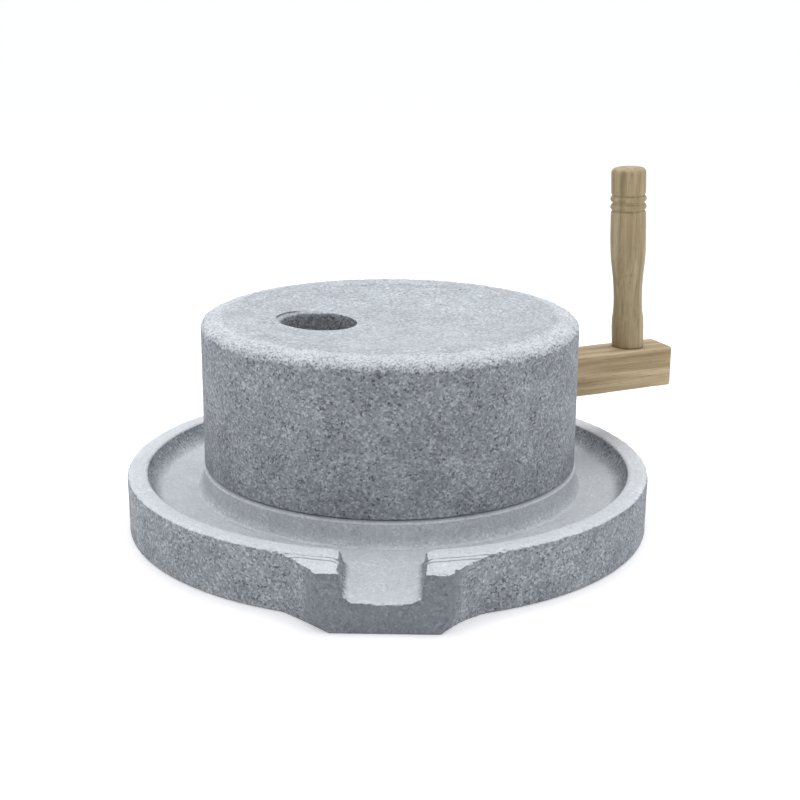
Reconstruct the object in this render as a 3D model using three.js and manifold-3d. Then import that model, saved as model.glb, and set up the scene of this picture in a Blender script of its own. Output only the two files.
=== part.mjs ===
// A stone rotary quern (hand mill). The bed stone is one carved block: a grinding boss inside a
// catching tray with a pouring spout. The runner stone turns on it, driven by a wooden arm let into
// its flank, and the arm carries a turned upright grip.
//
// Millimetres, +Z up. The origin is on the turning axis, in the plane that the quern stands on.
// The spout points along -Y.
import * as THREE from "three";
import { mergeVertices } from "three/addons/utils/BufferGeometryUtils.js";
import Module from "manifold-3d";

// Driving dimensions

const gap = 0.3; // clearance between pieces that bear on each other
const stoneSides = 72; // sides of each turned stone surface
const woodSides = 24; // sides of each turned wooden surface

const tray = {
  centre: { x: -1.3, y: -2.1 }, // carved by hand, so its round is a little off the turning axis
  radius: 209.8, // outer wall at the rim
  footRadius: 209.4,
  rimHeight: 46,
  rimWidth: 16.5,
  rimEdge: 1.6, // worn arris on both edges of the rim
  floorHeight: 30,
  floorOuterRadius: 180.8, // where the floor turns up into the rim's sloping inner wall
};

const boss = {
  radius: 151, // shoulder of the grinding boss
  rootRadius: 157.5, // where its wall coves out into the tray's floor
  shoulderHeight: 47,
  lipHeight: 48.8, // the bevelled edge that shows under the runner
  faceHeight: 50, // grinding face
  faceRadius: 144,
};

// The turning centre is a short stub, left standing when the grinding face was dressed.
const stub = { rootRadius: 12, tipRadius: 10, height: 14 };

const spout = {
  reach: 233, // front face, measured from the axis
  // The two flares, with angles in degrees from -Y at the tray's centre where each leaves its wall.
  left: { angle: 20.5, footAngle: 19, halfWidth: 43.5, footHalfWidth: 34.5, hollow: 0.5 },
  right: { angle: 24, footAngle: 20.5, halfWidth: 45.5, footHalfWidth: 41, hollow: 3 },
  footCorner: 9, // height of the front face's cut lower corners
  cheekDrop: 2, // the cheeks fall this much from the rim to the front face
  channelAside: 1, // middle of the pouring channel
  channelHalfWidth: 28.5, // pouring channel at the cheeks
  channelFloorHalfWidth: 26,
  channelCorner: 7.5,
  lipHeight: 23.2, // channel floor at the front face
};

const runner = {
  radius: 150,
  top: 168.8,
  footChamfer: 0.8,
  shoulderWidth: 16, // rounded shoulder, flatter than it is wide
  shoulderHeight: 8,
  dishRadius: 116, // the dressed edge of the shallow dish on top
  dishEdgeWidth: 3,
  dishEdgeDepth: 1.5,
  dishDepth: 9,
  swallowRadius: 95, // hollow in the underside that lets grain spread from the eye
  swallowRunout: 14,
  swallowDepth: 3,
};

const eye = { radius: 31, offset: 57, angle: 182.3, edge: 1.5 };

const arm = {
  angle: 25, // degrees from +X, at rest
  width: 34,
  top: 120.3,
  rootHeight: 36.5,
  tipHeight: 35,
  tip: 259, // distance of the end from the axis
  housing: 42, // length let into the runner's flank
  edge: 2,
};

const grip = {
  distance: 224.2, // from the axis, along the arm
  aside: 1, // and off the arm's centre line
  lean: 2.8, // degrees towards the stone
  height: 153.5,
  tenonRadius: 9,
  tenonLength: 24,
};

// Furrows cut in both grinding faces: eight sectors of parallel grooves. They stop short of the edge.
const furrows = { sectors: 8, perSector: 4, width: 5, depth: 1.6, spacing: 21, inner: 34, outer: 138 };

const colours = { stone: 0x9a9ea3, runnerStone: 0x94989e, armWood: 0xa08a62, gripWood: 0xa8946c };

// Solids

const wasm = await Module();
wasm.setup();

const radians = THREE.MathUtils.degToRad;

function toSolid(geometry) {
  const bare = geometry.clone();
  bare.deleteAttribute("normal");
  bare.deleteAttribute("uv");
  const merged = mergeVertices(bare, 1e-3);
  const mesh = new wasm.Mesh({
    numProp: 3,
    vertProperties: new Float32Array(merged.attributes.position.array),
    triVerts: new Uint32Array(merged.index.array),
  });
  return new wasm.Manifold(mesh);
}

function toGeometry(solid) {
  const { vertProperties, triVerts } = solid.getMesh();
  const geometry = new THREE.BufferGeometry();
  geometry.setAttribute("position", new THREE.BufferAttribute(vertProperties, 3));
  geometry.setIndex(new THREE.BufferAttribute(triVerts, 1));
  geometry.computeVertexNormals();
  return geometry;
}

function point(radius, height) {
  return new THREE.Vector2(radius, height);
}

// A turned solid about Z, from a profile that runs up the outside from axis to axis.
function turned(profile, sides) {
  return new THREE.LatheGeometry(profile, sides).rotateX(Math.PI / 2);
}

// Points along a quarter ellipse from start to end; `bulge` is the corner that it rounds.
function rounded(start, bulge, end, steps) {
  const points = [];
  for (let i = 0; i <= steps; i++) {
    const turn = (Math.PI / 2) * (i / steps);
    const a = 1 - Math.sin(turn);
    const b = 1 - Math.cos(turn);
    points.push(
      point(
        bulge.x + a * (start.x - bulge.x) + b * (end.x - bulge.x),
        bulge.y + a * (start.y - bulge.y) + b * (end.y - bulge.y),
      ),
    );
  }
  return points;
}

function drum(radius, low, high, sides) {
  return turned([point(0, low), point(radius, low), point(radius, high), point(0, high)], sides);
}

function block(length, width, low, high) {
  return new THREE.BoxGeometry(length, width, high - low).translate(0, 0, (low + high) / 2);
}

// The furrow cutters of one grinding face, between two heights. Each sector has a master furrow
// along a radius and shorter ones parallel to it, which branch off the next sector's master.
function furrowCutters(low, high) {
  const cutters = [];
  for (let sector = 0; sector < furrows.sectors; sector++) {
    const turn = (2 * Math.PI * sector) / furrows.sectors;
    for (let i = 0; i < furrows.perSector; i++) {
      const aside = i * furrows.spacing;
      const start = Math.max(furrows.inner, aside + 2 * furrows.width);
      const end = Math.sqrt(furrows.outer ** 2 - (aside + furrows.width / 2) ** 2);
      const bar = block(end - start, furrows.width, low, high);
      cutters.push(bar.translate((start + end) / 2, aside, 0).rotateZ(turn));
    }
  }
  return cutters.map(toSolid);
}

// Bed stone

function trayProfile() {
  const rimInner = tray.radius - tray.rimWidth;
  const { rimHeight, rimEdge, floorHeight, floorOuterRadius } = tray;
  const innerWall = rounded(
    point(rimInner, rimHeight - rimEdge),
    point((rimInner + floorOuterRadius) / 2, floorHeight),
    point(floorOuterRadius, floorHeight),
    4,
  );
  return [
    point(0, 0),
    point(tray.footRadius, 0),
    point(tray.radius, rimHeight - rimEdge),
    point(tray.radius - rimEdge, rimHeight),
    point(rimInner + rimEdge, rimHeight),
    ...innerWall,
    point(0, floorHeight),
  ];
}

function bossProfile() {
  const { floorHeight } = tray;
  const bossWall = rounded(
    point(boss.rootRadius, floorHeight),
    point(boss.radius + 1, floorHeight),
    point(boss.radius, boss.shoulderHeight - 9),
    4,
  );
  const stubTop = boss.faceHeight + stub.height;
  return [
    point(0, floorHeight - 5),
    point(boss.rootRadius, floorHeight - 5),
    ...bossWall,
    point(boss.radius, boss.shoulderHeight),
    point(boss.radius - 2.5, boss.lipHeight),
    point(boss.faceRadius + 1, boss.lipHeight),
    point(boss.faceRadius, boss.faceHeight),
    point(stub.rootRadius, boss.faceHeight),
    point(stub.tipRadius, stubTop - 2),
    point(stub.tipRadius - 2, stubTop),
    point(0, stubTop),
  ];
}

// One flare of the spout at one level, from the tray's wall to the front face's corner. `side` is
// -1 for the left, and `rise` is 0 at the ground and 1 at the cheeks. The flares are hollow below.
function flare(side, shape, rise) {
  const cornerRise = Math.min(1, (rise * tray.rimHeight) / spout.footCorner);
  const half = THREE.MathUtils.lerp(shape.footHalfWidth, shape.halfWidth, cornerRise);
  const angle = radians(THREE.MathUtils.lerp(shape.footAngle, shape.angle, rise));
  const start = new THREE.Vector2(side * Math.sin(angle), -Math.cos(angle)).multiplyScalar(tray.footRadius - 0.6);
  start.add(tray.centre);
  const corner = new THREE.Vector2(side * half, -spout.reach);
  const along = corner.clone().sub(start).normalize();
  const hollow = 2 * shape.hollow * (1 - rise);
  const control = start.clone().add(corner).multiplyScalar(0.5);
  control.x += side * along.y * hollow;
  control.y -= side * along.x * hollow;
  return new THREE.QuadraticBezierCurve(start, control, corner).getPoints(6);
}

// One level of the spout's outline, anticlockwise: down the left flare, across the front face and
// back up the right flare.
function spoutOutline(rise) {
  const left = flare(-1, spout.left, rise);
  const right = flare(1, spout.right, rise).reverse();
  const root = { x: 60, y: -170 }; // well inside the tray's wall
  return [new THREE.Vector2(-root.x, root.y), ...left, ...right, new THREE.Vector2(root.x, root.y)];
}

// A closed solid through anticlockwise outlines of equally many points, each at its own height.
function lofted(outlines, heights) {
  const count = outlines[0].length;
  const positions = outlines.flatMap((outline, k) => outline.flatMap((p) => [p.x, p.y, heights[k]]));
  const index = [];
  for (let k = 0; k + 1 < outlines.length; k++) {
    for (let i = 0; i < count; i++) {
      const a = k * count + i;
      const b = k * count + ((i + 1) % count);
      index.push(a, b, b + count, a, b + count, a + count);
    }
  }
  const last = (outlines.length - 1) * count;
  for (const [a, b, c] of THREE.ShapeUtils.triangulateShape(outlines[0], [])) index.push(a, c, b);
  for (const [a, b, c] of THREE.ShapeUtils.triangulateShape(outlines.at(-1), [])) {
    index.push(last + a, last + b, last + c);
  }
  const geometry = new THREE.BufferGeometry();
  geometry.setAttribute("position", new THREE.Float32BufferAttribute(positions, 3));
  geometry.setIndex(index);
  return geometry;
}

function spoutBlock() {
  const rises = [0, spout.footCorner / tray.rimHeight, 0.55, 1];
  return lofted(
    rises.map(spoutOutline),
    rises.map((rise) => rise * tray.rimHeight),
  );
}

// The cheeks' slope: a slab above them that starts level with the rim and drops to the front.
function cheekSlope() {
  const run = spout.reach - tray.radius;
  const slab = new THREE.BoxGeometry(200, 80, 20).translate(0, -40, 10);
  slab.rotateX(Math.atan2(spout.cheekDrop, run));
  return slab.translate(0, -tray.radius - 2, tray.rimHeight);
}

// The pouring channel: a U section that falls from the tray's floor to the lip.
function pouringChannel() {
  const { channelHalfWidth: wide, channelFloorHalfWidth: narrow, channelCorner: corner } = spout;
  const section = new THREE.Shape();
  section.moveTo(wide + 1.2, 30);
  section.lineTo(-wide - 1.2, 30);
  section.lineTo(-narrow - 0.6, corner);
  section.quadraticCurveTo(-narrow, 0, -narrow + corner, 0);
  section.lineTo(narrow - corner, 0);
  section.quadraticCurveTo(narrow, 0, narrow + 0.6, corner);
  section.closePath();
  const inside = tray.floorOuterRadius - 4;
  const length = spout.reach + 6 - inside;
  const options = { depth: length, bevelEnabled: false, curveSegments: 5 };
  const cutter = new THREE.ExtrudeGeometry(section, options).rotateX(Math.PI / 2);
  const fall = tray.floorHeight - spout.lipHeight;
  cutter.rotateX(Math.atan2(fall, spout.reach - inside));
  return cutter.translate(spout.channelAside, -inside, tray.floorHeight);
}

function bedStone() {
  const { x, y } = tray.centre;
  let solid = toSolid(turned(trayProfile(), stoneSides).translate(x, y, 0));
  const hollow = drum(tray.radius - tray.rimWidth / 2, tray.floorHeight - 5, 60, stoneSides);
  solid = solid.add(toSolid(spoutBlock()).subtract(toSolid(hollow.translate(x, y, 0))));
  solid = solid.add(toSolid(turned(bossProfile(), stoneSides)));
  solid = solid.subtract(toSolid(cheekSlope()));
  solid = solid.subtract(toSolid(pouringChannel()));
  const face = boss.faceHeight;
  for (const cutter of furrowCutters(face - furrows.depth, face + 5)) {
    solid = solid.subtract(cutter);
  }
  return toGeometry(solid);
}

// Runner stone

function dishHeight(radius) {
  const share = radius / (runner.dishRadius - runner.dishEdgeWidth);
  return runner.top - runner.dishDepth + (runner.dishDepth - runner.dishEdgeDepth) * share ** 2;
}

function runnerProfile() {
  const foot = boss.faceHeight + gap;
  const socketRadius = stub.rootRadius + 1.5;
  const socketTop = boss.faceHeight + stub.height + 2;
  const { radius, top, footChamfer, swallowRadius, swallowRunout, swallowDepth } = runner;
  const shoulder = rounded(
    point(radius, top - runner.shoulderHeight),
    point(radius, top),
    point(radius - runner.shoulderWidth, top),
    6,
  );
  const dishRim = runner.dishRadius - runner.dishEdgeWidth;
  const dishRings = [1, 0.8, 0.6, 0.4, 0.2, 0].map((share) => share * dishRim);
  const dish = dishRings.map((ring) => point(ring, dishHeight(ring)));
  return [
    point(0, socketTop),
    point(socketRadius - 2, socketTop),
    point(socketRadius, socketTop - 2),
    point(socketRadius, foot + swallowDepth),
    point(swallowRadius, foot + swallowDepth),
    point(swallowRadius + swallowRunout, foot),
    point(radius - footChamfer, foot),
    point(radius, foot + footChamfer),
    ...shoulder,
    point(runner.dishRadius, top),
    ...dish,
  ];
}

// The feed eye goes right through, with a worn arris at its mouth.
function eyeCutter() {
  const mouth = dishHeight(eye.offset);
  const profile = [
    point(0, 40),
    point(eye.radius, 40),
    point(eye.radius, mouth - eye.edge),
    point(eye.radius + 2 * eye.edge, mouth + eye.edge),
    point(eye.radius + 2 * eye.edge, runner.top + 10),
    point(0, runner.top + 10),
  ];
  return turned(profile, 64).translate(eye.offset, 0, 0).rotateZ(radians(eye.angle));
}

// The square mortise that houses the arm, a gap larger all round.
function mortise() {
  const inner = runner.radius - arm.housing - gap;
  const length = runner.radius + 10 - inner;
  const low = arm.top - arm.rootHeight - gap;
  const cutter = block(length, arm.width + 2 * gap, low, arm.top + gap);
  return cutter.translate(inner + length / 2, 0, 0).rotateZ(radians(arm.angle));
}

function runnerStone() {
  let solid = toSolid(turned(runnerProfile(), stoneSides));
  solid = solid.subtract(toSolid(eyeCutter())).subtract(toSolid(mortise()));
  const face = boss.faceHeight + gap;
  for (const cutter of furrowCutters(face - 5, face + furrows.depth)) {
    solid = solid.subtract(cutter);
  }
  return toGeometry(solid);
}

// Arm: a planed bar along +X of the handle group. Its underside rises a little to the tip.

function placeOnGrip(geometry) {
  geometry.rotateY(radians(-grip.lean));
  return geometry.translate(grip.distance, grip.aside, arm.top);
}

function armBar() {
  const root = runner.radius - arm.housing;
  const corner = 3;
  const foot = arm.top - arm.tipHeight;
  const side = new THREE.Shape();
  side.moveTo(root, arm.top - arm.rootHeight);
  side.lineTo(arm.tip - corner, foot);
  side.quadraticCurveTo(arm.tip, foot, arm.tip, foot + corner);
  side.lineTo(arm.tip, arm.top - corner);
  side.quadraticCurveTo(arm.tip, arm.top, arm.tip - corner, arm.top);
  side.lineTo(root, arm.top);
  side.closePath();
  const bar = new THREE.ExtrudeGeometry(side, {
    depth: arm.width - 2 * arm.edge,
    bevelThickness: arm.edge,
    bevelSize: arm.edge,
    bevelOffset: -arm.edge,
    bevelSegments: 2,
    curveSegments: 3,
  });
  bar.rotateX(Math.PI / 2).translate(0, arm.width / 2 - arm.edge, 0);
  const hole = drum(grip.tenonRadius + gap, -grip.tenonLength - gap, 10, woodSides);
  return toGeometry(toSolid(bar).subtract(toSolid(placeOnGrip(hole))));
}

// Grip: turned in one, with a tenon below, a waist, two beads between grooves, and a plain cap.

function gripProfile() {
  const bead = (middle) => [
    point(13.3, middle - 2.9),
    point(14.7, middle - 1.9),
    point(15.15, middle),
    point(14.7, middle + 1.9),
    point(13.3, middle + 2.9),
  ];
  const top = grip.height;
  return [
    point(0, -grip.tenonLength),
    point(grip.tenonRadius - 1, -grip.tenonLength),
    point(grip.tenonRadius, -grip.tenonLength + 1),
    point(grip.tenonRadius, -3),
    point(13.4, -3),
    point(13.6, 8),
    point(13.7, 17),
    point(13.5, 24),
    point(12.6, 30),
    point(12.15, 38),
    point(12.15, 48),
    point(12.5, 57),
    point(13.3, 65),
    point(14.2, 72),
    point(14.8, 79),
    point(15.05, 90),
    point(15, 103),
    point(14.75, 115.5),
    point(14.2, 117),
    ...bead(121.1),
    ...bead(127.8),
    point(14.2, 131.6),
    point(14.5, 133),
    ...rounded(point(14.55, top - 4), point(14.55, top), point(10.5, top), 4),
    point(0, top),
  ];
}

// The foot is cut off level, a gap above the arm, so that the leaning grip meets it all round.
function gripTurning() {
  const turning = toSolid(placeOnGrip(turned(gripProfile(), woodSides)));
  const above = toSolid(block(600, 200, arm.top + gap, arm.top + 300));
  const tenon = toSolid(placeOnGrip(drum(grip.tenonRadius + 0.01, -grip.tenonLength - 5, 8, woodSides)));
  return toGeometry(turning.intersect(above.add(tenon)));
}

// Assembly

function stone(colour) {
  return new THREE.MeshStandardMaterial({ color: colour, roughness: 0.88, metalness: 0 });
}

function wood(colour) {
  return new THREE.MeshStandardMaterial({ color: colour, roughness: 0.62, metalness: 0 });
}

function named(name, geometry, material) {
  const mesh = new THREE.Mesh(geometry, material);
  mesh.name = name;
  return mesh;
}

const handle = new THREE.Group();
handle.rotation.z = radians(arm.angle);
handle.add(named("handle_arm", armBar(), wood(colours.armWood)));
handle.add(named("handle_grip", gripTurning(), wood(colours.gripWood)));

const turningParts = new THREE.Group();
turningParts.add(named("runner_stone", runnerStone(), stone(colours.runnerStone)));
turningParts.add(handle);

const quern = new THREE.Group();
quern.add(named("bed_stone", bedStone(), stone(colours.stone)));
quern.add(turningParts);

export default quern;
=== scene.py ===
# Rotary quern: two granite stones and a beech handle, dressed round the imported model.
# Lengths in the settings are millimetres. Z is the turning axis, and the spout points along -Y.
import math
import bpy
import bmesh
from mathutils import Euler, Matrix, Vector
from mathutils.geometry import intersect_point_line


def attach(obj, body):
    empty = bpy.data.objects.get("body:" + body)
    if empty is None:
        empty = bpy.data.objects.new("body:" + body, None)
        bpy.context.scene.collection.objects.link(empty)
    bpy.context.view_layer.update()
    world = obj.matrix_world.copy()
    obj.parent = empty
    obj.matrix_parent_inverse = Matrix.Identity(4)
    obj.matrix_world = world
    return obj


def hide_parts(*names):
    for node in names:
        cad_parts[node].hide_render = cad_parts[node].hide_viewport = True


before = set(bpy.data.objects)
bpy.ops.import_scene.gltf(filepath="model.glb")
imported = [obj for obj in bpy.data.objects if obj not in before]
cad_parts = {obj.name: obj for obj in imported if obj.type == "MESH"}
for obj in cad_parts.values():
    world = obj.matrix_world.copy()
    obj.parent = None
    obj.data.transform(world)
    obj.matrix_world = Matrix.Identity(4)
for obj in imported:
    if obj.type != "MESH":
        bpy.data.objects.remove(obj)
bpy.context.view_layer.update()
mm = 0.001
fullTurn = 2 * math.pi


# ---- tools for modelling

def deselectAll():
    if bpy.context.object and bpy.context.object.mode != "OBJECT":
        bpy.ops.object.mode_set(mode="OBJECT")
    bpy.ops.object.select_all(action="DESELECT")


def makeActive(piece):
    deselectAll()
    piece.select_set(True)
    bpy.context.view_layer.objects.active = piece


def editMode(piece):
    makeActive(piece)
    bpy.ops.object.mode_set(mode="EDIT")


def objectMode():
    bpy.ops.object.mode_set(mode="OBJECT")


def selectVerts(test):  # test gets a place in millimetres
    bpy.ops.mesh.select_mode(type="VERT")
    bpy.ops.mesh.select_all(action="DESELECT")
    mesh = bpy.context.object.data
    shape = bmesh.from_edit_mesh(mesh)
    for vertex in shape.verts:
        vertex.select = bool(test(vertex.co / mm))
    shape.select_flush(True)
    bmesh.update_edit_mesh(mesh)


def selectFaces(test):  # test gets the middle in millimetres and the normal
    bpy.ops.mesh.select_mode(type="FACE")
    bpy.ops.mesh.select_all(action="DESELECT")
    mesh = bpy.context.object.data
    shape = bmesh.from_edit_mesh(mesh)
    for face in shape.faces:
        face.select = bool(test(face.calc_center_median() / mm, face.normal))
    shape.select_flush(True)
    bmesh.update_edit_mesh(mesh)


def selectEdges(test):  # test gets the two ends in millimetres
    bpy.ops.mesh.select_mode(type="EDGE")
    bpy.ops.mesh.select_all(action="DESELECT")
    mesh = bpy.context.object.data
    shape = bmesh.from_edit_mesh(mesh)
    for edge in shape.edges:
        edge.select = bool(test(edge.verts[0].co / mm, edge.verts[1].co / mm))
    shape.select_flush(False)
    bmesh.update_edit_mesh(mesh)


def quarterRound(start, corner, end, steps):  # quarter ellipse that rounds a corner of a profile
    points = []
    for i in range(steps + 1):
        turn = math.pi / 2 * i / steps
        a, b = 1 - math.sin(turn), 1 - math.cos(turn)
        points.append(tuple(corner[k] + a * (start[k] - corner[k]) + b * (end[k] - corner[k])
                            for k in (0, 1)))
    return points


def closer(points, spacing):  # the same profile with no run longer than the spacing
    made = [points[0]]
    for (r0, z0), (r1, z1) in zip(points, points[1:]):
        runs = max(1, math.ceil(math.hypot(r1 - r0, z1 - z0) / spacing))
        made += [(r0 + (r1 - r0) * i / runs, z0 + (z1 - z0) * i / runs) for i in range(1, runs + 1)]
    return made


def latheTurn(name, profile, steps):  # a profile of (radius, height) drawn point by point and spun
    deselectAll()
    bpy.ops.mesh.primitive_plane_add(size=1 * mm)
    piece = bpy.context.object
    piece.name = name
    bpy.ops.object.mode_set(mode="EDIT")
    bpy.ops.mesh.select_mode(type="VERT")
    bpy.ops.mesh.select_all(action="SELECT")
    bpy.ops.mesh.merge(type="CENTER")
    bpy.ops.transform.translate(value=(profile[0][0] * mm, 0, profile[0][1] * mm))
    for (r0, z0), (r1, z1) in zip(profile, profile[1:]):
        bpy.ops.mesh.extrude_region_move(
            TRANSFORM_OT_translate={"value": ((r1 - r0) * mm, 0, (z1 - z0) * mm)})
    bpy.ops.mesh.select_all(action="SELECT")
    bpy.ops.mesh.spin(steps=steps, angle=fullTurn, center=(0, 0, 0), axis=(0, 0, 1))
    bpy.ops.mesh.select_all(action="SELECT")
    bpy.ops.mesh.remove_doubles(threshold=0.005 * mm)
    bpy.ops.mesh.normals_make_consistent(inside=False)
    objectMode()
    return piece


def addBlock(name, low, high):  # a cube primitive between two corners, in millimetres
    deselectAll()
    low, high = Vector(low) * mm, Vector(high) * mm
    bpy.ops.mesh.primitive_cube_add(size=1, location=(low + high) / 2, scale=high - low)
    bpy.ops.object.transform_apply(location=True, rotation=True, scale=True)
    piece = bpy.context.object
    piece.name = name
    return piece


def cutAcross(axis, places):  # bisects the whole mesh at places along an axis, in millimetres
    normal = [float(i == axis) for i in range(3)]
    for place in places:
        bpy.ops.mesh.select_all(action="SELECT")
        bpy.ops.mesh.bisect(plane_co=[place * mm * n for n in normal], plane_no=normal)


def applyModifier(piece, kind, **settings):
    makeActive(piece)
    modifier = piece.modifiers.new(kind.lower(), kind)
    for setting, value in settings.items():
        setattr(modifier, setting, value)
    bpy.ops.object.modifier_apply(modifier=modifier.name)


def carve(piece, cutter, operation="DIFFERENCE"):
    applyModifier(piece, "BOOLEAN", object=cutter, operation=operation, solver="MANIFOLD")
    bpy.data.objects.remove(cutter)


def groupBy(piece, name, weightAt):  # a vertex group weighted by place
    group = piece.vertex_groups.new(name=name)
    for vertex in piece.data.vertices:
        weight = weightAt(vertex.co / mm)
        if weight > 0.01:
            group.add([vertex.index], min(1, weight), "REPLACE")
    return name


def roughen(piece, group, grain, depth, contrast=1.0, layers=2, direction="NORMAL", middle=1.0):
    texture = bpy.data.textures.new(group, "CLOUDS")  # middle 1 only takes stone away
    texture.noise_scale = grain * mm
    texture.noise_depth = layers
    texture.contrast = contrast
    applyModifier(piece, "DISPLACE", texture=texture, texture_coords="LOCAL", direction=direction,
                  strength=depth * mm, mid_level=middle, vertex_group=group)


def near(point, lines, reach):  # 1 on the nearest line, 0 at the reach and beyond
    closest = reach
    for start, end in lines:
        foot, share = intersect_point_line(point, start, end)
        if share < 0:
            foot = start
        elif share > 1:
            foot = end
        closest = min(closest, (point - foot).length)
    return 1 - closest / reach


def finishPiece(piece, body, slotName, material, *nodes):
    piece.data.materials.clear()
    piece.data.materials.append(material)
    makeActive(piece)
    bpy.ops.object.shade_smooth_by_angle(angle=math.radians(42))
    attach(piece, body)
    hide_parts(*nodes)


# ---- tools for materials

def linear(code):  # sRGB hex to linear colour
    channels = [int(code[i:i + 2], 16) / 255 for i in (0, 2, 4)]
    return tuple(c / 12.92 if c <= 0.04045 else ((c + 0.055) / 1.055) ** 2.4 for c in channels) + (1,)


def addNode(tree, kind, links=None, stops=None, **settings):
    made = tree.nodes.new("ShaderNode" + kind)
    for setting, value in settings.items():
        setattr(made, setting, value)
    for socket, value in (links or {}).items():
        if isinstance(value, bpy.types.NodeSocket):
            tree.links.new(value, made.inputs[socket])
        else:
            made.inputs[socket].default_value = value
    for i, (place, colour) in enumerate(stops or []):
        ramp = made.color_ramp.elements
        stop = ramp[i] if i < 2 else ramp.new(place)
        stop.position, stop.color = place, linear(colour)
    return made


def newMaterial(name):
    material = bpy.data.materials.new(name)
    material.use_nodes = True
    tree = material.node_tree
    shader = tree.nodes["Principled BSDF"]
    return material, tree, shader


def patternNodes(tree):  # the few kinds of node that both stone and wood are made with
    def noise(width, vector, detail=2.0):  # width of a lump in millimetres
        links = {"Vector": vector, "Scale": 1 / (width * mm), "Detail": detail}
        return addNode(tree, "TexNoise", links).outputs[0]

    def between(value, low, high, toLow=0.0, toHigh=1.0):
        links = {"Value": value, "From Min": low, "From Max": high, "To Min": toLow, "To Max": toHigh}
        return addNode(tree, "MapRange", links, interpolation_type="SMOOTHSTEP").outputs[0]

    def maths(a, b=0.0, operation="MULTIPLY"):
        return addNode(tree, "Math", {0: a, 1: b}, operation=operation).outputs[0]

    def blend(share, a, b, how="MIX"):
        return addNode(tree, "Mix", {0: share, 6: a, 7: b}, data_type="RGBA", blend_type=how).outputs[2]

    def shaded(colour, level):  # the colour times a grey level
        grey = addNode(tree, "CombineColor", {0: level, 1: level, 2: level}).outputs[0]
        return blend(1.0, colour, grey, "MULTIPLY")

    return noise, between, maths, blend, shaded


# ---- granite

granite = {  # widths and spacings in millimetres
    "grain": 1.5,  # width of a crystal
    "wander": 1.6, "wanderWidth": 2.2,  # how far a crystal's edge strays, and how often
    "speck": 2.6,  # spacing of the black mica
    "micaShare": 0.85,
    "crowd": 18,  # spacing of the places where mica is thick
    "patch": 26,  # spacing of the cloudy patches
    "streak": 1.8,  # width of a turned streak
    "streaksPerRadian": 7.0,
    "hammerMark": 1.6,
    "crystals": [(0.0, "74787e"), (0.2, "888d93"), (0.5, "949aa0"), (0.8, "a3a8ad"), (0.95, "b9bdc1")],
    # 54585d is painted shadow for the step lines on the spout's cheeks; dcdfe2 is pale meal with painted light
    "mica": "4a4d53", "bruised": "d2d5d8", "hewn": "65696f", "paleMealAndLight": "dcdfe2", "paintedStepShadow": "54585d",
    "mealAndTopLight": 0.2,  # share of pale meal dust and painted top light on a face that looks up
    # painted shade: steep walls keep this share of the tops' brightness
    "paintedSideShade": 0.76,
    "roughness": 0.82,
    "reliefDepth": 0.45,
}


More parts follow.
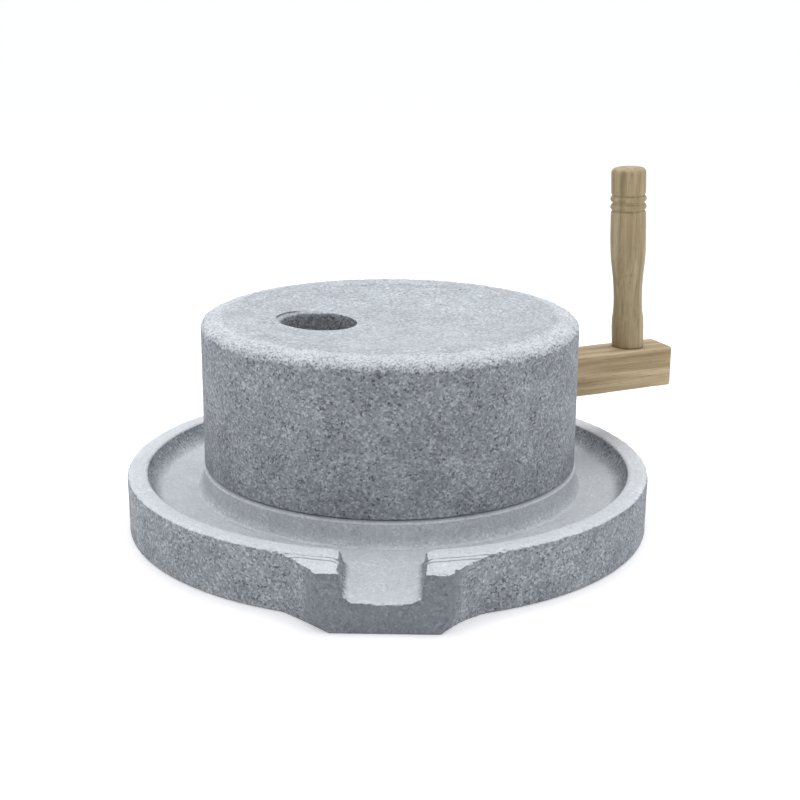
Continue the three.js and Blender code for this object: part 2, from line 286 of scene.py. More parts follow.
def graniteMaterial(name, hammered=None, hewn=None, stepShadowRings=None, troughMealAndLight=None, tone=1.0):
    # grey granite: fine crystals of pale feldspar and quartz with black mica; turned faces show
    # concentric streaks, hammered ones are bruised white
    look = granite
    material, tree, shader = newMaterial(name)
    noise, between, maths, blend, shaded = patternNodes(tree)
    place = addNode(tree, "TexCoord").outputs["Object"]
    axes = addNode(tree, "SeparateXYZ", {0: place}).outputs
    flat = addNode(tree, "VectorMath", {0: place, 1: (1, 1, 0)}, operation="MULTIPLY").outputs[0]
    radius = addNode(tree, "VectorMath", {0: flat}, operation="LENGTH").outputs["Value"]
    facing = addNode(tree, "SeparateXYZ", {0: addNode(tree, "NewGeometry").outputs["Normal"]}).outputs[2]

    # crystals with uneven edges
    wander = addNode(tree, "TexNoise", {"Vector": place, "Scale": 1 / (look["wanderWidth"] * mm),
                                        "Detail": 2.0}).outputs["Color"]
    wander = addNode(tree, "VectorMath", {0: wander, 1: (0.5, 0.5, 0.5)}, operation="SUBTRACT").outputs[0]
    wander = addNode(tree, "VectorMath", {0: wander, "Scale": look["wander"] * mm}, operation="SCALE").outputs[0]
    loose = addNode(tree, "VectorMath", {0: place, 1: wander}, operation="ADD").outputs[0]
    cells = addNode(tree, "TexVoronoi", {"Vector": loose, "Scale": 1 / (look["grain"] * mm)}).outputs["Color"]
    share = addNode(tree, "SeparateColor", {0: cells}).outputs[0]
    colour = addNode(tree, "ValToRGB", {0: share}, look["crystals"]).outputs[0]

    # black mica, 1 to 2 mm, thicker in some places than in others
    crowd = between(noise(look["crowd"], place), 0.35, 0.65, -0.05, 0.03)
    mica = between(maths(noise(look["speck"], loose, 1.5), crowd, "ADD"), 0.62, 0.68)
    colour = blend(maths(mica, look["micaShare"]), colour, linear(look["mica"]))

    # cloudy patches, and painted shade that darkens the steep walls against the tops
    patchesAndSideShade = maths(between(noise(look["patch"], place, 4.0), 0.3, 0.7, 0.86, 1.1), tone)
    patchesAndSideShade = maths(patchesAndSideShade, between(facing, 0.3, 0.8, look["paintedSideShade"], 1.0))
    colour = shaded(colour, patchesAndSideShade)

    # faces that look up are streaked round the axis by the dressing, and made paler with meal dust and painted
    # light
    upward = between(facing, 0.5, 0.95)
    around = addNode(tree, "VectorMath", {0: flat}, operation="NORMALIZE").outputs[0]
    around = addNode(tree, "VectorMath", {0: around, "Scale": look["streaksPerRadian"]},
                     operation="SCALE").outputs[0]
    rings = addNode(tree, "CombineXYZ", {2: maths(radius, 1 / (look["streak"] * mm))}).outputs[0]
    around = addNode(tree, "VectorMath", {0: around, 1: rings}, operation="ADD").outputs[0]
    streak = addNode(tree, "TexNoise", {"Vector": around, "Scale": 1.0, "Detail": 3.0}).outputs[0]
    colour = blend(upward, colour, shaded(colour, between(streak, 0.3, 0.7, 0.86, 1.1)))
    mealAndTopLight = maths(upward, look["mealAndTopLight"])
    if troughMealAndLight:  # the bed's faces that look up, the trough and its channel among them, take more meal dust and painted light, and the boss's wall is made paler
        wall = between(radius, troughMealAndLight["radius"] * mm, (troughMealAndLight["radius"] + 14) * mm, troughMealAndLight["wallShare"], 0.0)
        wall = maths(wall, between(axes[2], (troughMealAndLight["low"] - 3) * mm, troughMealAndLight["low"] * mm))
        mealAndTopLight = maths(maths(upward, troughMealAndLight["share"]), wall, "MAXIMUM")
    colour = blend(mealAndTopLight, colour, linear(look["paleMealAndLight"]))

    bruises = 0.0
    if hammered:  # a band bruised by the bush hammer, with an uneven lower edge
        uneven, inner = hammered["uneven"] * mm, hammered["inner"]
        edge = between(noise(9, place, 3.0), 0.3, 0.7, -uneven, uneven)
        bruises = between(maths(axes[2], edge, "ADD"), (hammered["low"] - 0.5) * mm, (hammered["low"] + 0.5) * mm)
        outside = between(maths(radius, maths(edge, 0.5), "ADD"), (inner - 1.5) * mm, (inner + 1.5) * mm)
        bruises = maths(bruises, outside)
        pale = between(noise(look["hammerMark"], place), 0.38, 0.6, 0.0, 0.6)
        colour = blend(maths(bruises, pale), colour, linear(look["bruised"]))

    if hewn:  # the spout's rough front is darker
        front = between(axes[1], -(hewn["front"] + 4) * mm, -(hewn["front"] - 6) * mm, 1.0, 0.0)
        steep = between(facing, 0.35, 0.6, 1.0, 0.0)
        colour = blend(maths(maths(front, steep), hewn["strength"]), colour, linear(look["hewn"]))

    stepShadowLine = 0.0
    if stepShadowRings:  # painted shadow lines across the spout's cheeks, where the rim's top steps down to them
        behind = between(axes[1], -200 * mm, -190 * mm, 1.0, 0.0)
        level = between(axes[2], 43.2 * mm, 43.8 * mm)
        lines = 0.0
        for ring in stepShadowRings:
            away = maths(maths(radius, ring * mm, "SUBTRACT"), operation="ABSOLUTE")
            lines = maths(lines, between(away, 0.3 * mm, 0.9 * mm, 1.0, 0.0), "MAXIMUM")
        stepShadowLine = maths(maths(lines, behind), level)
        colour = blend(maths(stepShadowLine, 0.6), colour, linear(look["paintedStepShadow"]))

    # relief: crystal grain, pits where mica has dropped out, shallow tool lines, and shallow grooves under the
    # painted step shadows
    relief = maths(maths(noise(0.9, place), 0.5), maths(noise(3.0, place, 3.0), 0.8), "ADD")
    relief = maths(relief, maths(mica, 0.35), "SUBTRACT")
    relief = maths(relief, maths(maths(streak, upward), 0.7), "ADD")
    if hammered:
        relief = maths(relief, maths(maths(noise(2.0, place), bruises), 1.2), "ADD")
    if stepShadowRings:
        relief = maths(relief, maths(stepShadowLine, 2.0), "SUBTRACT")
    bump = addNode(tree, "Bump", {"Height": relief, "Strength": 0.8, "Distance": look["reliefDepth"] * mm})

    rough = between(mica, 0, 1, look["roughness"], look["roughness"] - 0.2)  # mica has a little shine
    tree.links.new(colour, shader.inputs["Base Color"])
    tree.links.new(rough, shader.inputs["Roughness"])
    tree.links.new(bump.outputs[0], shader.inputs["Normal"])
    shader.inputs["IOR"].default_value = 1.5
    return material


# ---- beech

beech = {  # widths and lengths in millimetres
    "fibre": 0.9, "fibreLength": 45, "figure": 7, "figureLength": 120, "fleck": 0.7, "fleckLength": 6,
    "fleckTone": "6b5238", "fleckShare": 0.45, "rubbed": "d9c9ab", "rubbedShare": 0.4, "reliefDepth": 0.25,
}


def beechMaterial(name, tones, turn, alongZ, arris=None):
    # beech, planed or turned and oiled by hands: fine straight fibre, broad pale and tan figure,
    # short dark flecks, arrises rubbed pale
    look = beech
    material, tree, shader = newMaterial(name)
    noise, between, maths, blend, shaded = patternNodes(tree)
    place = addNode(tree, "TexCoord").outputs["Object"]
    turned = addNode(tree, "Mapping", {"Vector": place, "Rotation": turn}).outputs[0]

    def stretched(width, length, detail=3.0):  # noise drawn out along the wood
        across, along = 1 / (width * mm), 1 / (length * mm)
        scale = (across, across, along) if alongZ else (along, across, across)
        scaled = addNode(tree, "VectorMath", {0: turned, 1: scale}, operation="MULTIPLY").outputs[0]
        return addNode(tree, "TexNoise", {"Vector": scaled, "Scale": 1.0, "Detail": detail}).outputs[0]

    figure = stretched(look["figure"], look["figureLength"])
    fibre = stretched(look["fibre"], look["fibreLength"])
    colour = addNode(tree, "ValToRGB", {0: between(figure, 0.3, 0.7)}, tones).outputs[0]
    colour = shaded(colour, between(fibre, 0.3, 0.7, 0.84, 1.1))
    fleck = between(stretched(look["fleck"], look["fleckLength"], 1.0), 0.64, 0.7)
    colour = blend(maths(fleck, look["fleckShare"]), colour, linear(look["fleckTone"]))
    if arris:
        axes = addNode(tree, "SeparateXYZ", {0: turned}).outputs
        aside = maths(axes[1], operation="ABSOLUTE")
        side = between(aside, (arris["half"] - 2.2) * mm, (arris["half"] - 0.6) * mm)
        top = between(axes[2], (arris["top"] - 2.4) * mm, (arris["top"] - 1) * mm)
        colour = blend(maths(maths(side, top), look["rubbedShare"]), colour, linear(look["rubbed"]))
    relief = maths(maths(fibre, 0.6), maths(figure, 0.6), "ADD")
    bump = addNode(tree, "Bump", {"Height": relief, "Strength": 0.5, "Distance": look["reliefDepth"] * mm})

    tree.links.new(colour, shader.inputs["Base Color"])
    tree.links.new(between(fibre, 0, 1, 0.62, 0.48), shader.inputs["Roughness"])
    tree.links.new(bump.outputs[0], shader.inputs["Normal"])
    shader.inputs["IOR"].default_value = 1.5
    return material


# ---- furrows of the grinding faces

furrow = {"sectors": 8, "perSector": 4, "width": 5, "depth": 1.6, "spacing": 21, "inner": 34, "outer": 138}


def furrowBars(low, high):
    deselectAll()
    bpy.ops.mesh.primitive_cube_add(size=1 * mm)
    bars = bpy.context.object
    editMode(bars)
    bpy.ops.mesh.delete(type="VERT")
    for i in range(furrow["perSector"]):
        aside = i * furrow["spacing"]
        start = max(furrow["inner"], aside + 2 * furrow["width"])
        end = math.sqrt(furrow["outer"] ** 2 - (aside + furrow["width"] / 2) ** 2)
        bpy.ops.mesh.primitive_cube_add(
            size=1, location=Vector(((start + end) / 2, aside, (low + high) / 2)) * mm,
            scale=Vector((end - start, furrow["width"], high - low)) * mm)
    bpy.ops.mesh.select_all(action="SELECT")
    bpy.ops.mesh.spin(steps=furrow["sectors"], angle=fullTurn, dupli=True, center=(0, 0, 0), axis=(0, 0, 1))
    bpy.ops.mesh.select_all(action="SELECT")
    bpy.ops.mesh.remove_doubles(threshold=0.005 * mm)
    bpy.ops.mesh.normals_make_consistent(inside=False)
    objectMode()
    return bars


# ---- bed stone

bed = {
    "centre": (-1.3, -2.1),  # the tray's round is a little off the turning axis
    "radius": 209.8, "footRadius": 209.4, "rimHeight": 46, "rimWidth": 16.5, "rimEdge": 1.6,
    "floorHeight": 30, "floorRadius": 180.8,
    "bossRadius": 151, "bossRoot": 157.5, "shoulder": 47, "lip": 48.8, "face": 50, "faceRadius": 144,
    "stubRoot": 12, "stubTip": 10, "stubHeight": 14,
    "voxel": 1.15, "triangles": 120000, "sides": 360,
    "arrisWear": {"grain": 3.6, "depth": 1.7, "contrast": 1.8}, "hewnWear": {"grain": 9, "depth": 0.7},
    "rimWear": {"grain": 5, "depth": 1.0, "contrast": 1.8}, "wallWear": {"grain": 14, "depth": 0.4},
}
spout = {
    "reach": 233, "footCorner": 9, "cheekDrop": 2, "channelAside": 1, "channelHalf": 28.5,
    "channelFloorHalf": 26, "channelCorner": 7.5, "lipHeight": 23.2, "innerFlare": 2.0,
    "dips": {-12: 0.36, -4: 0.81, 4: 1.08, 12: 0.81},  # how far the lip is worn down, across the channel
    "levels": (17, 26, 36), "shares": 7,  # where a flare is cut to be shaped
    "flares": {  # left and right, with angles in degrees from -Y at the tray's centre
        -1: {"angle": 20.5, "footAngle": 19, "half": 43.5, "footHalf": 34.5, "hollow": 0.5},
        1: {"angle": 24, "footAngle": 20.5, "half": 45.5, "footHalf": 41, "hollow": 3},
    },
}


def buildTray():
    rimInner = bed["radius"] - bed["rimWidth"]
    outer, foot, top, floor = bed["radius"], bed["footRadius"], bed["rimHeight"], bed["floorHeight"]
    low = top - bed["rimEdge"]
    coveCorner = ((rimInner + bed["floorRadius"]) / 2, floor)
    profile = [(0, 0), (foot - 1.2, 0), (foot, 1.2), (outer, low - 0.6)]
    profile += quarterRound((outer, low), (outer, top), (outer - 2.2, top), 3)
    profile += quarterRound((rimInner + 2.4, top), (rimInner, top), (rimInner, low - 0.8), 3)
    profile += quarterRound((rimInner, low - 0.8), coveCorner, (bed["floorRadius"], floor), 8)[1:]
    profile += [(0, floor)]
    tray = latheTurn("bedStone", profile, bed["sides"])
    tray.data.transform(trayShift())
    return tray


def trayShift():
    return Matrix.Translation(Vector((*bed["centre"], 0)) * mm)


def fromTrayAxis(place):
    return (place.xy - Vector(bed["centre"])).length


def flarePoint(side, share, level):  # a place on a flare, in millimetres: share 0 at the tray's wall
    shape = spout["flares"][side]
    rise = level / bed["rimHeight"]
    half = shape["footHalf"] + (shape["half"] - shape["footHalf"]) * min(1, level / spout["footCorner"])
    angle = math.radians(shape["footAngle"] + (shape["angle"] - shape["footAngle"]) * rise)
    start = Vector((side * math.sin(angle), -math.cos(angle))) * (bed["footRadius"] - 0.6)
    start += Vector(bed["centre"])
    corner = Vector((side * half, -spout["reach"]))
    along = (corner - start).normalized()
    sink = 4 * share * (1 - share) * shape["hollow"] * (1 - rise)
    return start.lerp(corner, share) + Vector((side * along.y, -side * along.x)) * sink


def buildSpout():
    rootHalf, rootY, front = 76, -190, -spout["reach"]
    piece = addBlock("spout", (-rootHalf, front, 0), (rootHalf, rootY, bed["rimHeight"]))
    editMode(piece)
    levels = [0, spout["footCorner"], *spout["levels"], bed["rimHeight"]]
    shares = [i / spout["shares"] for i in range(spout["shares"] + 1)]
    cutAcross(2, levels[1:-1])
    cutAcross(1, [rootY + (front - rootY) * share for share in shares[1:-1]])
    for level in levels:  # each corner of the block's sides is pulled to its place on the flare
        for share in shares:
            for side in (-1, 1):
                old = Vector((side * rootHalf, rootY + (front - rootY) * share, level))
                selectVerts(lambda p: (p - old).length < 0.15)
                move = flarePoint(side, share, level) - old.xy
                if move.length > 0.001:
                    bpy.ops.transform.translate(value=Vector((move.x, move.y, 0)) * mm)
    selectFaces(lambda p, normal: normal.y > 0.9)  # let the root run in under the rim
    bpy.ops.mesh.extrude_region_move(TRANSFORM_OT_translate={"value": (0, 22 * mm, 0)})
    bpy.ops.transform.resize(value=(0.75, 1, 1), center_override=(0, 0, 0))
    objectMode()
    middle = bed["radius"] - bed["rimWidth"] / 2
    inside = latheTurn("inside", [(0, 25), (middle, 25), (middle, 60), (0, 60)], 180)
    inside.data.transform(trayShift())
    carve(piece, inside)
    return piece


def buildChannelCutter():
    start = bed["floorRadius"] - 4
    wide, narrow = spout["channelHalf"] + 1.2, spout["channelFloorHalf"]
    cutter = addBlock("channel", (-wide, -(spout["reach"] + 6), 0), (wide, -start, 30))
    cutter.data.transform(Matrix.Translation((0, 0, bed["floorHeight"] * mm)))
    editMode(cutter)
    low = bed["floorHeight"] + 1
    selectVerts(lambda p: p.z < low)
    bpy.ops.transform.resize(value=(narrow / wide, 1, 1), center_override=(0, 0, 0))
    selectVerts(lambda p: p.y > -start - 1)  # the channel opens a little towards the tray
    bpy.ops.transform.resize(value=(1 + spout["innerFlare"] / wide, 1, 1), center_override=(0, 0, 0))
    selectEdges(lambda a, b: a.z < low and b.z < low and abs(a.y - b.y) > 20)
    bpy.ops.mesh.bevel(offset=spout["channelCorner"] * mm, segments=6, affect="EDGES")
    cutAcross(0, spout["dips"])
    for x, dip in spout["dips"].items():
        selectVerts(lambda p: abs(p.x - x) < 0.5 and p.z < low and p.y < -spout["reach"])
        bpy.ops.transform.translate(value=(0, 0, -dip * mm))
    bpy.ops.mesh.select_all(action="SELECT")
    bpy.ops.mesh.normals_make_consistent(inside=False)
    objectMode()
    fall = math.atan2(bed["floorHeight"] - spout["lipHeight"], spout["reach"] - start)
    hinge = Matrix.Translation((0, -start * mm, bed["floorHeight"] * mm))
    aside = Matrix.Translation((spout["channelAside"] * mm, 0, 0))
    cutter.data.transform(aside @ hinge @ Euler((fall, 0, 0)).to_matrix().to_4x4() @ hinge.inverted())
    return cutter


def buildCheekSlab():
    slab = addBlock("slab", (-100, -80, 0), (100, 0, 20))
    fall = math.atan2(spout["cheekDrop"], spout["reach"] - bed["radius"])
    turn = Euler((fall, 0, 0)).to_matrix().to_4x4()
    slab.data.transform(Matrix.Translation((0, -(bed["radius"] + 2) * mm, bed["rimHeight"] * mm)) @ turn)
    return slab


def buildBoss():
    floor, face, edge = bed["floorHeight"], bed["face"], bed["bossRadius"]
    stubEnd = face + bed["stubHeight"]
    profile = [(0, floor - 3), (bed["bossRoot"], floor - 3)]
    profile += quarterRound((bed["bossRoot"], floor + 0.15), (edge + 1, floor + 0.15),
                            (edge, bed["shoulder"] - 9), 5)
    profile += [(edge, bed["shoulder"]), (edge - 2.5, bed["lip"]), (bed["faceRadius"] + 1, bed["lip"]),
                (bed["faceRadius"], face), (bed["stubRoot"], face), (bed["stubTip"], stubEnd - 2),
                (bed["stubTip"] - 2, stubEnd), (0, stubEnd)]
    boss = latheTurn("boss", profile, bed["sides"])
    carve(boss, furrowBars(face - furrow["depth"], face + 5))
    return boss


def spoutArrises():
    front, rim = -spout["reach"], bed["rimHeight"]
    top, lip, aside = rim - spout["cheekDrop"], spout["lipHeight"], spout["channelAside"]
    lines = [((aside - 21, front, lip), (aside + 21, front, lip))]
    for side in (-1, 1):
        half = spout["flares"][side]["half"]
        root = flarePoint(side, 0, rim)
        channel = aside + side * spout["channelHalf"]
        lines += [((side * half, front, top), (channel, front, top)),
                  ((side * half, front, top), (root.x, root.y, rim)),
                  ((channel, front, top), (channel + side * spout["innerFlare"], -195, rim)),
                  ((side * half, front, top), (side * half, front, 8)),
                  ((channel, front, top), (aside + side * spout["channelFloorHalf"], front, lip + 6))]
    return [(Vector(a), Vector(b)) for a, b in lines]


def buildBed():
    tray = buildTray()
    carve(tray, buildSpout(), "UNION")
    carve(tray, buildCheekSlab())
    carve(tray, buildChannelCutter())
    applyModifier(tray, "REMESH", mode="VOXEL", voxel_size=bed["voxel"] * mm)
    carve(tray, buildBoss(), "UNION")
    arrises = spoutArrises()
    outer = bed["radius"]

    def hewnShare(p):
        return (fromTrayAxis(p) - outer) / 4 if p.y < -195 and 1 < p.z < 42 else 0

    worn = groupBy(tray, "wornArris", lambda p: near(p, arrises, 5) * 1.5 if p.y < -188 else 0)
    applyModifier(tray, "SMOOTH", factor=0.6, iterations=6, vertex_group=worn)
    roughen(tray, worn, **bed["arrisWear"])
    roughen(tray, groupBy(tray, "hewn", hewnShare), **bed["hewnWear"])
    rim = groupBy(tray, "rimArris", lambda p: 1 - abs(fromTrayAxis(p) - (outer - 1)) / 2.5 if p.z > 42 else 0)
    roughen(tray, rim, **bed["rimWear"])
    wall = groupBy(tray, "wall", lambda p: 1 if fromTrayAxis(p) > 206 and p.z > 2 else 0)
    roughen(tray, wall, **bed["wallWear"])
    count = sum(len(face.vertices) - 2 for face in tray.data.polygons)
    applyModifier(tray, "DECIMATE", ratio=bed["triangles"] / count)
    return tray


bedStone = buildBed()
bedStone.name = "bedStone"
# the bed's granite has painted shadow lines at radii 213 and 218 on the cheeks, and meal dust with painted light
# in the trough
finishPiece(bedStone, "bed", "granite_bed",
            graniteMaterial("dressedGraniteBed", hewn={"front": 222, "strength": 0.65}, stepShadowRings=(213, 218),
                            troughMealAndLight={"radius": 158, "low": 27, "wallShare": 0.4, "share": 0.62}),
            "bed_stone")
print("bed stone:", len(bedStone.data.polygons), "faces")


# ---- runner stone

runner = {
    "radius": 150, "foot": 50.3, "top": 168.8, "footChamfer": 0.8, "shoulderWidth": 16, "shoulderHeight": 8,
    "dishRadius": 116, "dishEdgeWidth": 3, "dishEdgeDepth": 1.5, "dishDepth": 9,
    "swallowRadius": 95, "swallowRunout": 14, "swallowDepth": 3, "socketRadius": 13.5, "socketTop": 66,
    "eyeRadius": 31, "eyeOffset": 57, "eyeAngle": 182.3, "eyeEdge": 1.5, "sides": 480, "dishRings": 28,
    "bandWear": {"grain": 11, "depth": 3.0, "contrast": 1.4, "direction": "Z", "middle": 0.5},
    "hammerWear": {"grain": 2.6, "depth": 1.2, "contrast": 1.3}, "wallWear": {"grain": 16, "depth": 0.5},
    "boreWear": {"grain": 3.5, "depth": 0.9},
}
arm = {
    "angle": 25, "width": 34, "top": 120.3, "rootHeight": 36.5, "tipHeight": 35, "tip": 259,
    "housing": 42, "edge": 2.4, "endEdge": 2.2, "gap": 0.3, "planing": {"grain": 24, "depth": 0.6, "layers": 1},
}


def dishHeight(radius):
    share = radius / (runner["dishRadius"] - runner["dishEdgeWidth"])
    return runner["top"] - runner["dishDepth"] + (runner["dishDepth"] - runner["dishEdgeDepth"]) * share ** 2


def buildEyeCutter():
    mouth, edge, r = dishHeight(runner["eyeOffset"]), runner["eyeEdge"], runner["eyeRadius"]
    profile = [(0, 40)] + closer([(r, 40), (r, mouth - edge)], 2.5)
    profile += [(r + 0.5 * edge, mouth - 0.3 * edge), (r + 1.2 * edge, mouth + 0.4 * edge),
                (r + 2 * edge, mouth + edge)]
    profile += [(r + 2 * edge, runner["top"] + 10), (0, runner["top"] + 10)]
    cutter = latheTurn("eye", profile, 120)
    bore = groupBy(cutter, "bore", lambda p: 1 if p.xy.length > 29 and p.z < mouth - 0.2 else 0)
    roughen(cutter, bore, **runner["boreWear"])
    angle = math.radians(runner["eyeAngle"])
    aside = Vector((math.cos(angle), math.sin(angle), 0)) * runner["eyeOffset"] * mm
    cutter.data.transform(Matrix.Translation(aside))
    return cutter


def buildMortise():
    inner = runner["radius"] - arm["housing"] - arm["gap"]
    half = arm["width"] / 2 + arm["gap"]
    cutter = addBlock("mortise", (inner, -half, arm["top"] - arm["rootHeight"] - arm["gap"]),
                      (runner["radius"] + 10, half, arm["top"] + arm["gap"]))
    cutter.data.transform(Matrix.Rotation(math.radians(arm["angle"]), 4, "Z"))
    return cutter


def buildRunner():
    outer, foot, top, chamfer = runner["radius"], runner["foot"], runner["top"], runner["footChamfer"]
    side = top - runner["shoulderHeight"]
    band = outer - runner["shoulderWidth"]
    dish, rim = runner["dishRadius"], runner["dishRadius"] - runner["dishEdgeWidth"]
    socket, swallow = runner["socketRadius"], runner["swallowRadius"]
    roof = foot + runner["swallowDepth"]
    rings = runner["dishRings"]

    profile = [(0, runner["socketTop"]), (socket - 2, runner["socketTop"]), (socket, runner["socketTop"] - 2),
               (socket, roof), (swallow, roof), (swallow + runner["swallowRunout"], foot),
               (outer - chamfer, foot), (outer, foot + chamfer)]
    profile += closer([(outer, foot + chamfer), (outer, side - 12)], 4)[1:]
    shoulder = quarterRound((outer, side), (outer, top), (band, top), 10)
    profile += closer([(outer, side - 12)] + shoulder + [(band - 4, top)], 1.4)[1:]
    profile += closer([profile[-1], (dish + 1, top)], 4)[1:]
    profile += quarterRound((dish + 1, top), (dish - 1, top), (rim, top - runner["dishEdgeDepth"]), 3)[1:]
    profile += [(rim * i / rings, dishHeight(rim * i / rings)) for i in range(rings - 1, -1, -1)]
    stone = latheTurn("runnerStone", profile, runner["sides"])

    edge = groupBy(stone, "bandEdge", lambda p: 1 - abs(p.z - side) / 9 if p.xy.length > 130 else 0)
    roughen(stone, edge, **runner["bandWear"])
    hammered = groupBy(stone, "hammered", lambda p: 1 if p.xy.length > 133 and p.z > side - 1.5 else 0)
    roughen(stone, hammered, **runner["hammerWear"])
    wall = groupBy(stone, "wall", lambda p: 1 if p.xy.length > 149 and 53 < p.z < side else 0)
    roughen(stone, wall, **runner["wallWear"])
    carve(stone, buildEyeCutter())
    carve(stone, buildMortise())
    carve(stone, furrowBars(foot - 5, foot + furrow["depth"]))
    return stone


runnerStone = buildRunner()
runnerStone.name = "runnerStone"
finishPiece(runnerStone, "runner", "granite_runner",
            graniteMaterial("hammeredGraniteRunner", hammered={"low": 160.5, "inner": 133, "uneven": 1.6},
                            tone=0.96),
            "runner_stone")
print("runner stone:", len(runnerStone.data.polygons), "faces")


# ---- arm

grip = {
    "distance": 224.2, "aside": 1, "lean": 2.8, "height": 153.5, "tenonRadius": 9, "tenonLength": 24,
    "beads": (121.1, 127.8), "beadRadius": 15.15, "beadDepth": 1.85, "beadHalf": 2.9, "headRadius": 14.55,
    "keepGap": 0.02, "sides": 96,
}


def placeOnGrip():
    spot = Vector((grip["distance"], grip["aside"], arm["top"])) * mm
    return Matrix.Translation(spot) @ Matrix.Rotation(math.radians(-grip["lean"]), 4, "Y")


def turnToArm(piece):
    piece.data.transform(Matrix.Rotation(math.radians(arm["angle"]), 4, "Z"))


def buildArm():
    root = runner["radius"] - arm["housing"]
    half = arm["width"] / 2
    bar = addBlock("handleArm", (root, -half, arm["top"] - arm["rootHeight"]), (arm["tip"], half, arm["top"]))
    editMode(bar)
    selectVerts(lambda p: p.x > root + 10 and p.z < arm["top"] - 10)  # the underside rises to the tip
    bpy.ops.transform.translate(value=(0, 0, (arm["rootHeight"] - arm["tipHeight"]) * mm))
    selectEdges(lambda a, b: abs(a.x - b.x) > 50)
    bpy.ops.mesh.bevel(offset=arm["edge"] * mm, segments=4, affect="EDGES")
    selectEdges(lambda a, b: a.x > arm["tip"] - 1 and b.x > arm["tip"] - 1)
    bpy.ops.mesh.bevel(offset=arm["endEdge"] * mm, segments=3, affect="EDGES")
    cutAcross(0, range(int(root) + 6, int(arm["tip"]) - 4, 6))
    cutAcross(1, (-9, -3, 3, 9))
    cutAcross(2, [arm["top"] - drop for drop in (7, 14, 21, 28)])
    bpy.ops.mesh.select_all(action="SELECT")
    bpy.ops.mesh.normals_make_consistent(inside=False)
    objectMode()
    planed = groupBy(bar, "planed", lambda p: 1 if p.x > runner["radius"] - 6 else 0)
    roughen(bar, planed, **arm["planing"])
    deep, wide = -grip["tenonLength"] - arm["gap"], grip["tenonRadius"] + arm["gap"]
    hole = latheTurn("hole", [(0, deep), (wide, deep), (wide, 10), (0, 10)], 48)
    hole.data.transform(placeOnGrip())
    carve(bar, hole)
    turnToArm(bar)
    return bar


handleArm = buildArm()
handleArm.name = "handleArm"
armTones = [(0.0, "8c7753"), (0.5, "a28d69"), (1.0, "b5a27f")]
finishPiece(handleArm, "runner", "arm_wood",
            beechMaterial("planedBeech", armTones, (0, 0, -math.radians(arm["angle"])), False,
                          arris={"half": arm["width"] / 2, "top": arm["top"]}),
            "handle_arm")
print("arm:", len(handleArm.data.polygons), "faces")


# ---- grip

def buildGrip():
    top, deep, peg, head = grip["height"], -grip["tenonLength"], grip["tenonRadius"], grip["headRadius"]

    def bead(middle):  # a turned bead with steep sides
        steps = [i / 6 for i in range(-6, 7)]
        return [(grip["beadRadius"] - grip["beadDepth"] * abs(step) ** 2.2, middle + grip["beadHalf"] * step)
                for step in steps]

    body = [(13.4, -3), (13.6, 8), (13.7, 17), (13.5, 24), (12.9, 28), (12.45, 32), (12.2, 36), (12.12, 42),
            (12.18, 48), (12.45, 55), (12.9, 61), (13.5, 67), (14.1, 72), (14.55, 77), (14.85, 82), (15.0, 88),
            (15.07, 95), (15.02, 103), (14.9, 110), (14.75, 115), (14.5, 116.4), (13.9, 117.6)]
    profile = [(0, deep), (peg - 1, deep), (peg, deep + 1), (peg, -3)] + body
    for middle in grip["beads"]:
        profile += bead(middle)
    profile += [(13.9, 131.4), (14.35, 132.4), (head, 134), (head, 141)]
    profile += quarterRound((head, top - 4), (head, top), (10.5, top), 8) + [(5, top), (0, top)]
    wood = latheTurn("handleGrip", profile, grip["sides"])
    wood.data.transform(placeOnGrip())
    floor = arm["top"] + arm["gap"]
    sliver = addBlock("sliver", (180, -50, arm["top"] - 20), (270, 50, floor))  # the foot is cut off level
    wide = peg + grip["keepGap"]
    keep = latheTurn("keep", [(0, -60), (wide, -60), (wide, 20), (0, 20)], 96)
    keep.data.transform(placeOnGrip())
    carve(sliver, keep)
    carve(wood, sliver)
    turnToArm(wood)
    return wood


handleGrip = buildGrip()
handleGrip.name = "handleGrip"
gripTones = [(0.0, "7c6c4a"), (0.5, "948260"), (1.0, "a79674")]
finishPiece(handleGrip, "runner", "grip_wood",
            beechMaterial("turnedBeech", gripTones, (0, 0, -math.radians(arm["angle"])), True), "handle_grip")
print("grip:", len(handleGrip.data.polygons), "faces")


# ---- floor, light and camera

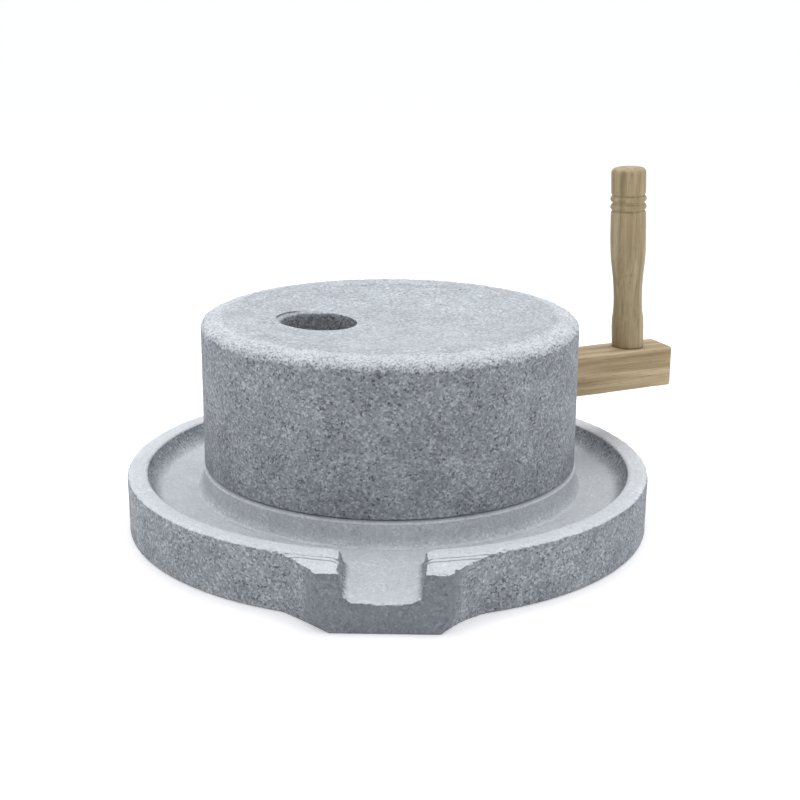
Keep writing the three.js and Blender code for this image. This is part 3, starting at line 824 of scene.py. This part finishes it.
studio = {
    "lens": 65.25, "clipEnd": 200, "distance": 1172.96, "elevation": 16.28, "azimuth": 1.06, "roll": 0.343,
    "aimAside": 8.14, "aimHeight": 96.57,
    "floor": "f2f2f2", "floorSize": 120, "floorRoughness": 0.9, "floorGlow": 0.25,
    "sky": "f4f6fa", "skyStrength": 0.95,
    "softboxes": [  # place, aim, size in metres and power in watts
        {"place": (0, 0.35, 1.5), "aim": (0, 0, 0.1), "size": 1.3, "power": 14},
        {"place": (-1.5, 0.1, 0.6), "aim": (0, 0, 0.1), "size": 1.0, "power": 3},
        {"place": (1.5, 0.1, 0.6), "aim": (0, 0, 0.1), "size": 1.0, "power": 3},
    ],
}


def buildFloor():
    deselectAll()
    bpy.ops.mesh.primitive_plane_add(size=studio["floorSize"])
    floor = bpy.context.object
    floor.name = "floor"
    material, tree, shader = newMaterial("paintedBoard")  # matt white board, lit a little from behind
    shader.inputs["Base Color"].default_value = linear(studio["floor"])
    shader.inputs["Roughness"].default_value = studio["floorRoughness"]
    shader.inputs["Emission Color"].default_value = linear(studio["floor"])
    shader.inputs["Emission Strength"].default_value = studio["floorGlow"]
    floor.data.materials.append(material)


def buildLights():
    for i, box in enumerate(studio["softboxes"]):
        deselectAll()
        bpy.ops.object.light_add(type="AREA", location=box["place"])
        lamp = bpy.context.object
        lamp.name = f"softbox{i + 1}"
        lamp.data.size = box["size"]
        lamp.data.energy = box["power"]
        aim = Vector(box["aim"]) - Vector(box["place"])
        lamp.rotation_euler = aim.to_track_quat("-Z", "Y").to_euler()
    world = bpy.data.worlds.new("studioAir")
    world.use_nodes = True
    sky = world.node_tree.nodes["Background"]
    sky.inputs["Color"].default_value = linear(studio["sky"])
    sky.inputs["Strength"].default_value = studio["skyStrength"]
    bpy.context.scene.world = world
    bpy.context.scene.view_settings.view_transform = "Standard"


def buildCamera():
    az, el = math.radians(studio["azimuth"]), math.radians(studio["elevation"])
    right = Vector((math.cos(az), math.sin(az), 0))
    back = Vector((math.sin(az) * math.cos(el), -math.cos(az) * math.cos(el), math.sin(el)))
    aim = (right * studio["aimAside"] + Vector((0, 0, studio["aimHeight"]))) * mm
    bpy.ops.object.camera_add(location=aim + back * studio["distance"] * mm)
    camera = bpy.context.object
    roll = Matrix.Rotation(math.radians(studio["roll"]), 3, "Z")
    camera.rotation_euler = (Euler((math.pi / 2 - el, 0, az)).to_matrix() @ roll).to_euler()
    camera.data.lens = studio["lens"]
    camera.data.clip_end = studio["clipEnd"]
    bpy.context.scene.camera = camera


buildFloor()
buildLights()
buildCamera()
print("studio ready")
